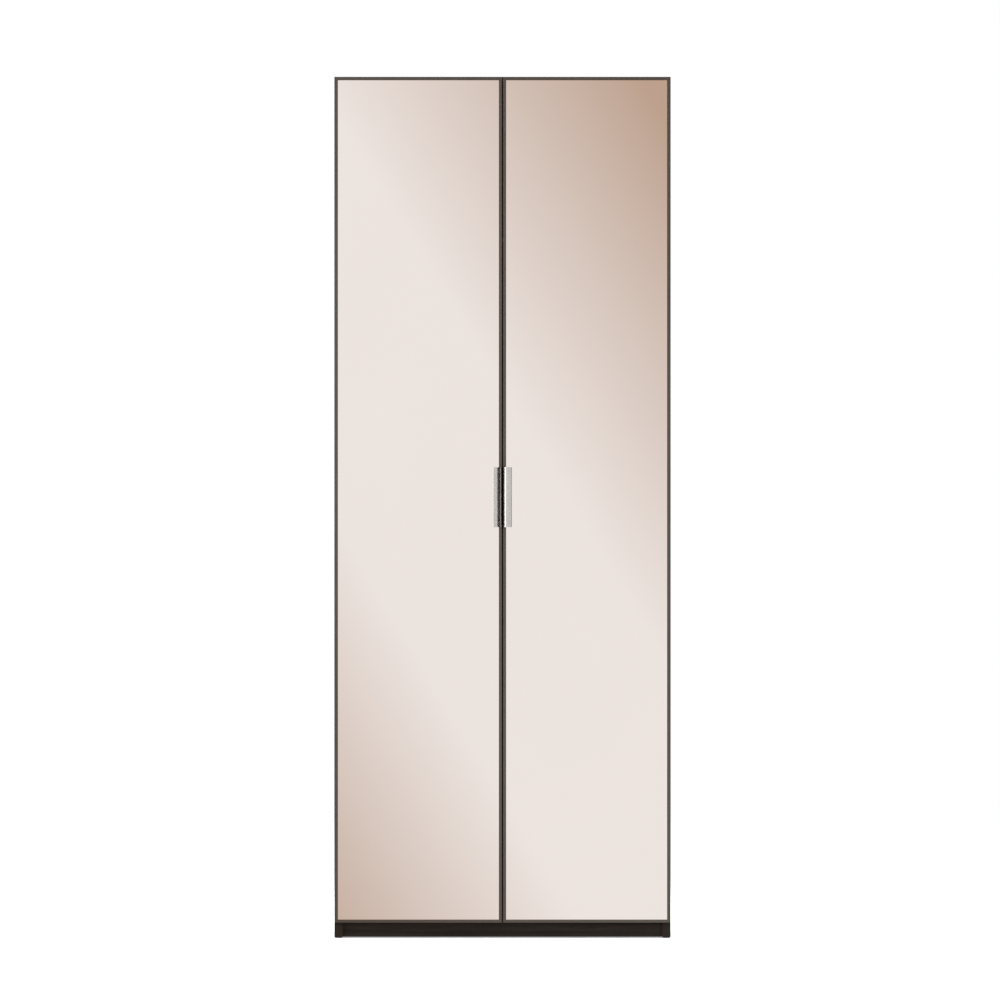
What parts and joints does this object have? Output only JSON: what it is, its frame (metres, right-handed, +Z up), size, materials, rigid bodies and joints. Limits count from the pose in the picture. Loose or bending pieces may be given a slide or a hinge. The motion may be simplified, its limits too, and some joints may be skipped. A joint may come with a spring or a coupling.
{
  "type": "armoire",
  "caption": "Tall freestanding two-door wardrobe with champagne mirror doors in slim dark metal frames, a dark cabinet, edge grips, hat shelf and clothes rail.",
  "frame": {"origin": "on the floor, under the middle of the outside box", "axes": "+X to the right, +Y from the doors to the back, +Z up"},
  "size_m": [0.9, 0.626, 2.305],
  "materials": {
    "dark_laminate": "satin dark wood-grain laminate on particle board",
    "fibreboard": "dark lacquered hardboard",
    "beech": "raw turned beech",
    "champagne_glass": "champagne-tinted mirror glass, silvered on its back",
    "dark_frame": "brushed, bronze-grey anodised",
    "chrome": "polished, with fine hairlines on the handles; satin on the clothes rail",
    "zinc": "nickel-plated pressed steel and die-cast zinc",
    "steel": "zinc-plated",
    "dark_plastic": "moulded, fine texture",
    "soft_clear": "clear soft bumper"
  },
  "bodies": {
    "cabinet": {"left_side_panel": "dark_laminate", "right_side_panel": "dark_laminate", "top_panel": "dark_laminate", "bottom_panel": "dark_laminate", "hat_shelf": "dark_laminate", "front_plinth": "dark_laminate", "rear_plinth": "dark_laminate", "left_back_panel": "fibreboard", "right_back_panel": "fibreboard", "back_joining_strip": "dark_plastic", "clothes_rail": "chrome", "rail_end_sockets": "zinc", "rail_socket_screws": "steel", "shelf_pins": "zinc", "wooden_dowels": "beech", "cam_connectors": "zinc", "cam_bolts": "steel", "back_panel_screws": "steel", "floor_glides": "dark_plastic", "wall_brackets": "zinc", "wall_bracket_screws": "steel", "foot_sockets": "dark_plastic", "foot_access_caps": "dark_plastic", "hinge_mounting_plates": "zinc", "hinge_arms": "zinc", "hinge_plate_screws": "steel", "hinge_arm_screws": "steel", "hinge_arm_pins": "steel"},
    "left_outer_links": {"left_outer_links": "zinc"},
    "left_inner_links": {"left_inner_links": "zinc"},
    "left_door": {"left_door_glass": "champagne_glass", "left_door_board": "dark_laminate", "left_frame_outer_stile": "dark_frame", "left_frame_inner_stile": "dark_frame", "left_frame_top_rail": "dark_frame", "left_frame_bottom_rail": "dark_frame", "left_handle": "chrome", "left_handle_screws": "steel", "left_hinge_cups": "zinc", "left_cup_screws": "steel", "left_cup_pins": "steel", "left_door_bumpers": "soft_clear"},
    "right_outer_links": {"right_outer_links": "zinc"},
    "right_inner_links": {"right_inner_links": "zinc"},
    "right_door": {"right_door_glass": "champagne_glass", "right_door_board": "dark_laminate", "right_frame_outer_stile": "dark_frame", "right_frame_inner_stile": "dark_frame", "right_frame_top_rail": "dark_frame", "right_frame_bottom_rail": "dark_frame", "right_handle": "chrome", "right_handle_screws": "steel", "right_hinge_cups": "zinc", "right_cup_screws": "steel", "right_cup_pins": "steel", "right_door_bumpers": "soft_clear"},
    "front_left_foot": {"front_left_foot": "dark_plastic"},
    "front_right_foot": {"front_right_foot": "dark_plastic"},
    "rear_left_foot": {"rear_left_foot": "dark_plastic"},
    "rear_right_foot": {"rear_right_foot": "dark_plastic"}
  },
  "joints": [
    {"name": "left_door_swing", "type": "hinge", "parent": "left_outer_links", "child": "left_door", "pos_m": [-0.4368, -0.27, 1.17275], "axis": [0, 0, -1], "range_deg": [0, 124.45]},
    {"name": "left_outer_link_turn", "type": "hinge", "parent": "cabinet", "child": "left_outer_links", "pos_m": [-0.41, -0.249, 1.17275], "axis": [0, 0, 1], "range_deg": [0, 29.46]},
    {"name": "left_inner_link_turn", "type": "hinge", "parent": "cabinet", "child": "left_inner_links", "pos_m": [-0.4068, -0.2626, 1.17275], "axis": [0, 0, 1], "range_deg": [0, 16.35]},
    {"name": "right_door_swing", "type": "hinge", "parent": "right_outer_links", "child": "right_door", "pos_m": [0.4368, -0.27, 1.17275], "axis": [0, 0, 1], "range_deg": [0, 124.45]},
    {"name": "right_outer_link_turn", "type": "hinge", "parent": "cabinet", "child": "right_outer_links", "pos_m": [0.41, -0.249, 1.17275], "axis": [0, 0, -1], "range_deg": [0, 29.46]},
    {"name": "right_inner_link_turn", "type": "hinge", "parent": "cabinet", "child": "right_inner_links", "pos_m": [0.4068, -0.2626, 1.17275], "axis": [0, 0, -1], "range_deg": [0, 16.35]},
    {"name": "front_left_foot_screw", "type": "slide", "parent": "cabinet", "child": "front_left_foot", "axis": [0, 0, -1], "range_m": [0, 0.014]},
    {"name": "front_right_foot_screw", "type": "slide", "parent": "cabinet", "child": "front_right_foot", "axis": [0, 0, -1], "range_m": [0, 0.014]},
    {"name": "rear_left_foot_screw", "type": "slide", "parent": "cabinet", "child": "rear_left_foot", "axis": [0, 0, -1], "range_m": [0, 0.014]},
    {"name": "rear_right_foot_screw", "type": "slide", "parent": "cabinet", "child": "rear_right_foot", "axis": [0, 0, -1], "range_m": [0, 0.014]}
  ],
  "couplings": [
    {"joint": "left_outer_link_turn", "follows": "left_door_swing", "ratio": 0.23664},
    {"joint": "left_inner_link_turn", "follows": "left_door_swing", "ratio": 0.1313},
    {"joint": "right_outer_link_turn", "follows": "right_door_swing", "ratio": 0.23664},
    {"joint": "right_inner_link_turn", "follows": "right_door_swing", "ratio": 0.1313}
  ]
}
